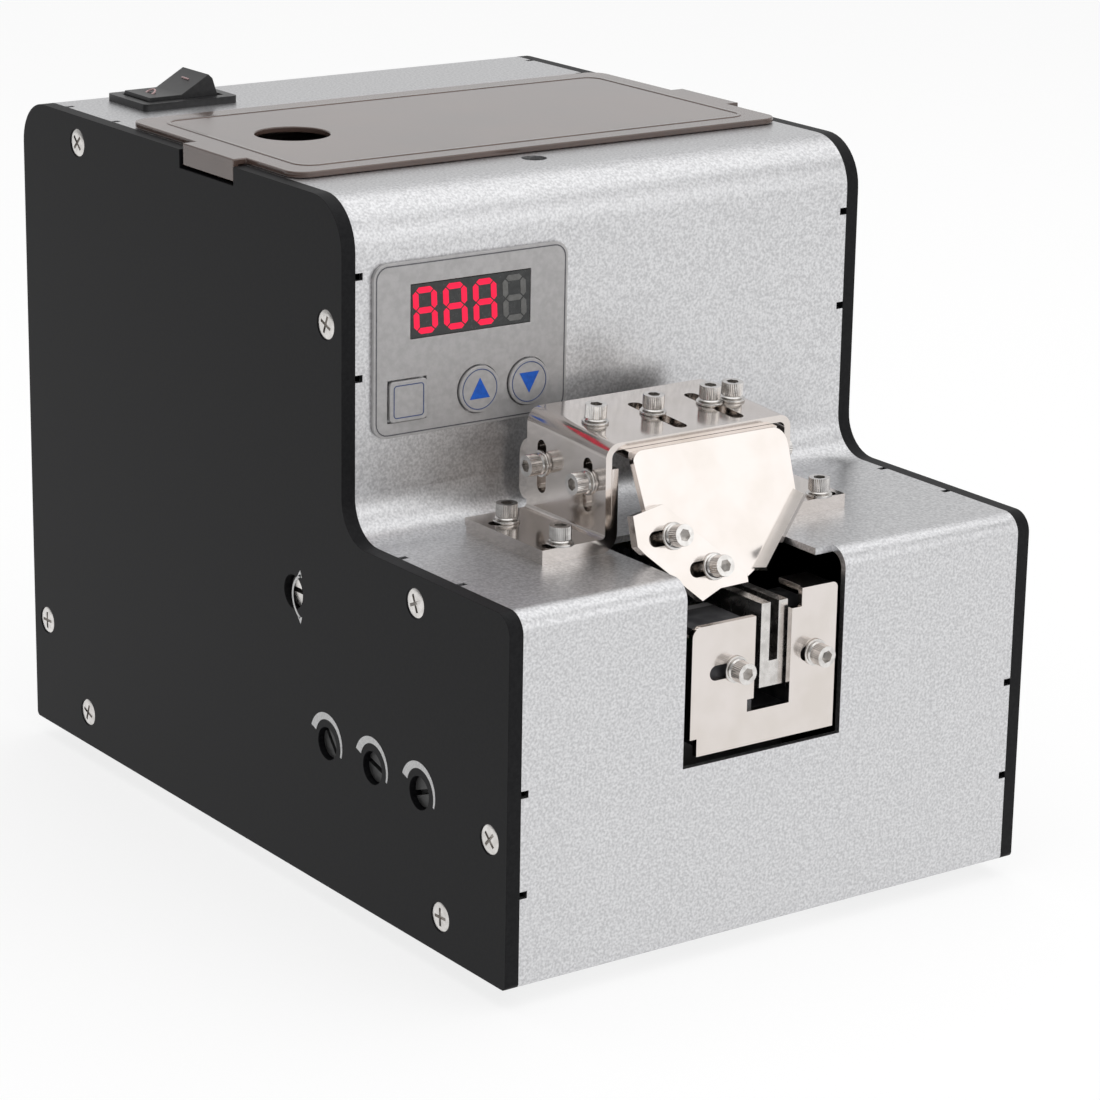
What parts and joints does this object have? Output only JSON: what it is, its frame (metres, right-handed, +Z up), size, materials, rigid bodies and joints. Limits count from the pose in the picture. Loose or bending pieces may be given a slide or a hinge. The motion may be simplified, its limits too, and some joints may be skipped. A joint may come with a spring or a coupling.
{
  "type": "automatic screw feeder",
  "caption": "Bench feeder that tumbles loose screws out of a lidded hopper onto a shaking rail pair and offers the next one at a slotted front window",
  "frame": {"origin": "under the middle of the whole part, on the surface that the feet stand on", "axes": "+X to the right seen from the front, +Y from the front window to the back, +Z up"},
  "size_m": [0.123, 0.1852, 0.146],
  "materials": {
    "black_paint": "satin black powder coat",
    "silver_paint": "fine-grained silver metallic paint",
    "plated_sheet": "zinc-plated sheet",
    "rubber": "moulded black rubber",
    "screw_steel": "nickel-plated screws and shafts",
    "smoked_acrylic": "smoke-brown transparent acrylic",
    "black_plastic": "black moulded plastic",
    "panel_foil": "light grey printed foil",
    "board_green": "circuit board",
    "key_grey": "light grey plastic keys",
    "nickel_sheet": "polished nickel-plated steel",
    "dark_metal": "dark blacked steel",
    "rail_steel": "ground steel",
    "machined_aluminium": "machined aluminium",
    "coil_copper": "wound copper wire",
    "gear_plastic": "natural acetal",
    "brass": "brass",
    "bristle": "dark nylon bristle",
    "rotor_white": "white plastic"
  },
  "bodies": {
    "case": {"left_side_plate": "black_paint", "right_side_plate": "black_paint", "wrap_cover": "silver_paint", "base_plate": "plated_sheet", "rubber_feet": "rubber", "foot_screws": "screw_steel", "side_plate_screws": "screw_steel", "switch_housing": "black_plastic", "display_panel": "panel_foil", "display_module": "board_green", "hood_cover": "nickel_sheet", "hood_brackets": "nickel_sheet", "hood_foot_screws": "screw_steel", "hood_wall_screws": "screw_steel", "hood_guide_screws": "screw_steel", "stop_plate_screws": "screw_steel", "nose_block": "dark_metal", "nose_bracket": "plated_sheet", "screw_sensors": "black_plastic", "vibrator_base": "dark_metal", "vibrator_coil": "coil_copper", "leaf_springs": "rail_steel", "hopper_bin": "plated_sheet", "drum_bearings": "rail_steel", "gear_motor": "dark_metal", "frame_plate": "plated_sheet", "rear_bridge": "plated_sheet", "brush_motor": "brass", "brush_bracket": "plated_sheet", "spindle_bracket": "plated_sheet", "control_board": "board_green", "board_bracket": "plated_sheet", "dc_jack": "black_plastic"},
    "lid": {"lid": "smoked_acrylic"},
    "rocker": {"switch_rocker": "black_plastic"},
    "set_key": {"set_key": "key_grey"},
    "up_key": {"up_key": "key_grey"},
    "down_key": {"down_key": "key_grey"},
    "trimmer_1": {"trimmer_rotor_1": "rotor_white"},
    "trimmer_2": {"trimmer_rotor_2": "rotor_white"},
    "trimmer_3": {"trimmer_rotor_3": "rotor_white"},
    "lock": {"rail_lock_spindle": "screw_steel"},
    "rails": {"rail_left": "rail_steel", "rail_right": "rail_steel", "rail_spacer": "rail_steel", "rail_carrier": "machined_aluminium", "rail_screws": "screw_steel", "rail_chutes": "plated_sheet", "vibrator_armature": "dark_metal"},
    "drum": {"drum": "machined_aluminium", "drum_shaft": "screw_steel", "drum_gear": "gear_plastic"},
    "pinion": {"motor_pinion": "brass"},
    "brush": {"brush_roller": "bristle"},
    "shield": {"shield_plate": "nickel_sheet", "shield_clamp_screws": "screw_steel", "guide_plate_screws": "screw_steel"},
    "guide": {"guide_plate": "nickel_sheet"},
    "stop": {"stop_plate": "nickel_sheet"}
  },
  "joints": [
    {"name": "lid_lift", "type": "slide", "parent": "case", "child": "lid", "axis": [0, 0, 1], "range_m": [0, 0.06]},
    {"name": "rocker_tilt", "type": "hinge", "parent": "case", "child": "rocker", "pos_m": [-0.0365, 0.07197, 0.139], "axis": [0, 1, 0], "range_deg": [0, 30]},
    {"name": "set_key_press", "type": "slide", "parent": "case", "child": "set_key", "axis": [0, 1, 0], "range_m": [0, 0.0005], "stiffness_N_per_m": 600, "springref_m": -0.0005},
    {"name": "up_key_press", "type": "slide", "parent": "case", "child": "up_key", "axis": [0, 1, 0], "range_m": [0, 0.0005], "stiffness_N_per_m": 600, "springref_m": -0.0005},
    {"name": "down_key_press", "type": "slide", "parent": "case", "child": "down_key", "axis": [0, 1, 0], "range_m": [0, 0.0005], "stiffness_N_per_m": 600, "springref_m": -0.0005},
    {"name": "trimmer_1_turn", "type": "hinge", "parent": "case", "child": "trimmer_1", "pos_m": [-0.0555, -0.06042, 0.0335], "axis": [1, 0, 0], "range_deg": [-135, 135]},
    {"name": "trimmer_2_turn", "type": "hinge", "parent": "case", "child": "trimmer_2", "pos_m": [-0.0555, -0.04442, 0.0335], "axis": [1, 0, 0], "range_deg": [-135, 135]},
    {"name": "trimmer_3_turn", "type": "hinge", "parent": "case", "child": "trimmer_3", "pos_m": [-0.0555, -0.02842, 0.0335], "axis": [1, 0, 0], "range_deg": [-135, 135]},
    {"name": "rail_lock_turn", "type": "hinge", "parent": "case", "child": "lock", "pos_m": [-0.0315, -0.01622, 0.0608], "axis": [1, 0, 0], "range_deg": [0, 90]},
    {"name": "rail_shake", "type": "slide", "parent": "case", "child": "rails", "axis": [0, 1, 0], "range_m": [-0.0004, 0.0004], "stiffness_N_per_m": 20000},
    {"name": "drum_spin", "type": "hinge", "parent": "case", "child": "drum", "pos_m": [0, 0.05097, 0.072], "axis": [0, 1, 0], "continuous": true},
    {"name": "pinion_spin", "type": "hinge", "parent": "case", "child": "pinion", "pos_m": [0, 0.05897, 0.042], "axis": [0, 1, 0], "continuous": true},
    {"name": "brush_spin", "type": "hinge", "parent": "case", "child": "brush", "pos_m": [0, -0.02003, 0.08], "axis": [1, 0, 0], "continuous": true},
    {"name": "shield_slide", "type": "slide", "parent": "case", "child": "shield", "axis": [0, 0.9981, 0.061], "range_m": [-0.005, 0]},
    {"name": "guide_slide", "type": "slide", "parent": "shield", "child": "guide", "axis": [1, 0, 0], "range_m": [-0.0008, 0.0025]},
    {"name": "stop_slide", "type": "slide", "parent": "case", "child": "stop", "axis": [1, 0, 0], "range_m": [0, 0.0015]}
  ],
  "couplings": [
    {"joint": "pinion_spin", "follows": "drum_spin", "ratio": -4}
  ]
}
